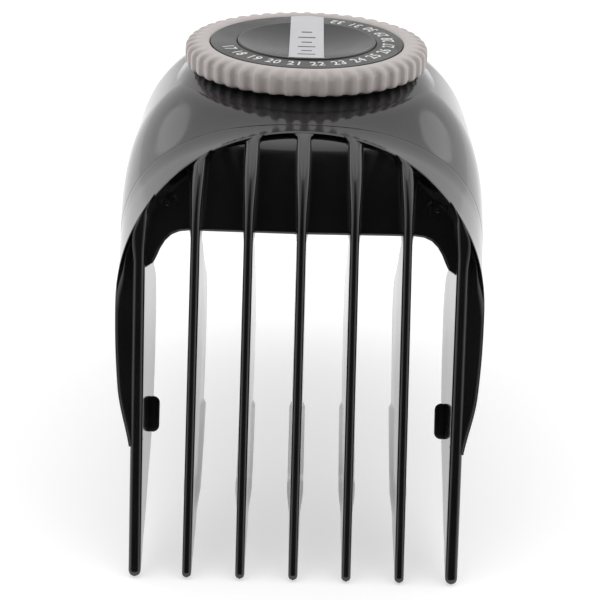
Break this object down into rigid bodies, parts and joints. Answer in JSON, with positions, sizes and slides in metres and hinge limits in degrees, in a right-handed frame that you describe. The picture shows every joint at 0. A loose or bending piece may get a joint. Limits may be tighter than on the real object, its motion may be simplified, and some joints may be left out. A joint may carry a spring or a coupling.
{
  "type": "hair clipper guide comb",
  "caption": "Adjustable hair clipper guide comb: toothed front comb and hood with a numbered dial that slides the clip-on carriage by rack and pinion.",
  "frame": {"origin": "centre of the footprint, at the level of the tooth tips", "axes": "+Z along the dial axis, away from the teeth; -Y towards the teeth, the way the comb faces; +X to the right seen from the front"},
  "size_m": [0.0516, 0.0846, 0.0564],
  "materials": {
    "gloss_black_plastic": "glossy",
    "satin_black_plastic": "satin",
    "warm_grey_plastic": "satin",
    "dark_grey_satin": "satin",
    "brushed_aluminium": "brushed",
    "black_rubber": "matt",
    "natural_acetal": "waxy",
    "spring_steel": "rolled",
    "zinc_screw": "zinc plated"
  },
  "bodies": {
    "housing": {"guide_comb": "gloss_black_plastic", "hood_shell": "gloss_black_plastic", "left_guide_pad": "black_rubber", "right_guide_pad": "black_rubber", "bearing_bush": "natural_acetal", "wave_washer": "spring_steel", "detent_spring": "spring_steel", "dial_axle": "spring_steel", "centre_cap": "dark_grey_satin", "pointer_strip": "brushed_aluminium", "axle_bridge": "spring_steel", "axle_clip": "spring_steel", "left_guide_rail": "natural_acetal", "right_guide_rail": "natural_acetal", "left_shell_screw": "zinc_screw", "right_shell_screw": "zinc_screw", "front_bridge_screw": "zinc_screw", "rear_bridge_screw": "zinc_screw", "left_front_rail_screw": "zinc_screw", "left_rear_rail_screw": "zinc_screw", "right_front_rail_screw": "zinc_screw", "right_rear_rail_screw": "zinc_screw"},
    "dial": {"dial_ring": "warm_grey_plastic", "scale_ring": "satin_black_plastic", "drive_pinion": "natural_acetal", "detent_wheel": "natural_acetal"},
    "carriage": {"slide_carriage": "satin_black_plastic", "drive_rack": "natural_acetal", "front_rack_screw": "zinc_screw", "rear_rack_screw": "zinc_screw", "latch_pin": "spring_steel", "latch_spring": "spring_steel"},
    "latch": {"release_latch": "satin_black_plastic"}
  },
  "joints": [
    {"name": "dial_turn", "type": "hinge", "parent": "housing", "child": "dial", "pos_m": [0, 0.00998, 0.05256], "axis": [0, 0, 1], "range_deg": [0, 247.5], "deforming": ["detent_spring"]},
    {"name": "carriage_slide", "type": "slide", "parent": "housing", "child": "carriage", "axis": [0, -1, 0], "range_m": [0, 0.0165]},
    {"name": "latch_pivot", "type": "hinge", "parent": "carriage", "child": "latch", "pos_m": [0, 0.03438, 0.03416], "axis": [1, 0, 0], "range_deg": [0, 14], "stiffness_Nm_per_rad": 0.02, "springref_deg": -11.46}
  ],
  "couplings": [
    {"joint": "carriage_slide", "follows": "dial_turn", "m_per_rad": 0.0038197}
  ]
}
